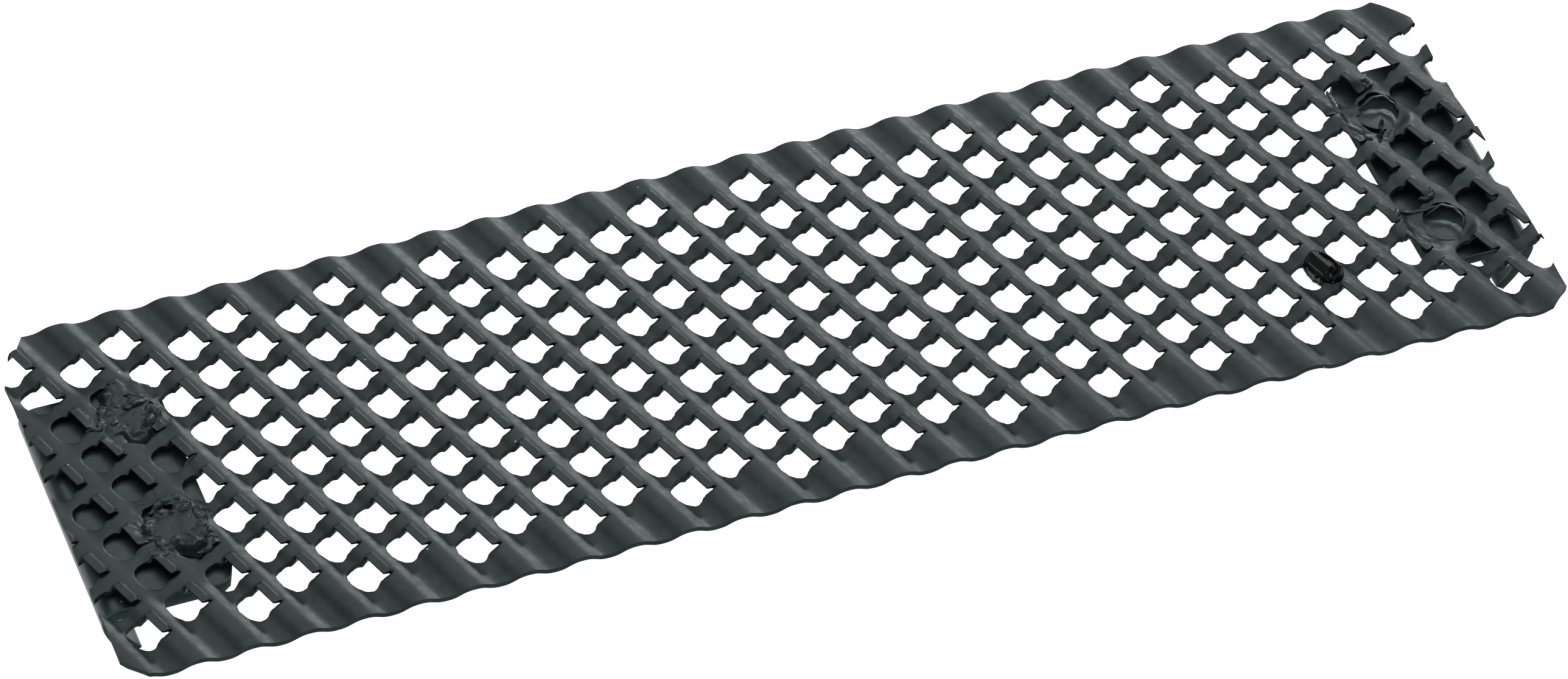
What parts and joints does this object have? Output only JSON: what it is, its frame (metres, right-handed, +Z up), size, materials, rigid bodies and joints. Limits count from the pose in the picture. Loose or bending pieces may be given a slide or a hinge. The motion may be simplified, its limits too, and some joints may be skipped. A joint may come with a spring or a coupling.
{
  "type": "rasp plane blade",
  "caption": "Perforated rasp-plane blade: corrugated steel strip with slanted rows of raised punched teeth and a J-shaped hook plate spot-welded under each end.",
  "frame": {"origin": "centre of the part's bounding box in plan, at the height of the two hook tips it stands on", "axes": "+X along the blade's length, +Y across its width towards the side where the tooth rows lean to the left end, +Z up out of the toothed face"},
  "size_m": [0.14, 0.04, 0.0098],
  "materials": {
    "sheet_enamel": "satin slate-grey enamel on corrugated steel sheet",
    "left_hook_enamel": "satin slate-grey enamel on pressed steel",
    "right_hook_enamel": "satin slate-grey enamel on pressed steel",
    "left_weld_upper_bead": "crumpled weld metal under thin enamel",
    "left_weld_lower_bead": "smeared weld metal under thin enamel",
    "right_weld_upper_button": "smooth spot-weld button under thin enamel",
    "right_weld_lower_button": "smooth spot-weld button under thin enamel",
    "gloss_enamel": "hardened drop of gloss black enamel"
  },
  "bodies": {
    "root": {"blade_sheet": "sheet_enamel", "left_hook_plate": "left_hook_enamel", "right_hook_plate": "right_hook_enamel", "left_weld_upper": "left_weld_upper_bead", "left_weld_lower": "left_weld_lower_bead", "right_weld_upper": "right_weld_upper_button", "right_weld_lower": "right_weld_lower_button", "paint_run": "gloss_enamel"}
  },
  "joints": []
}
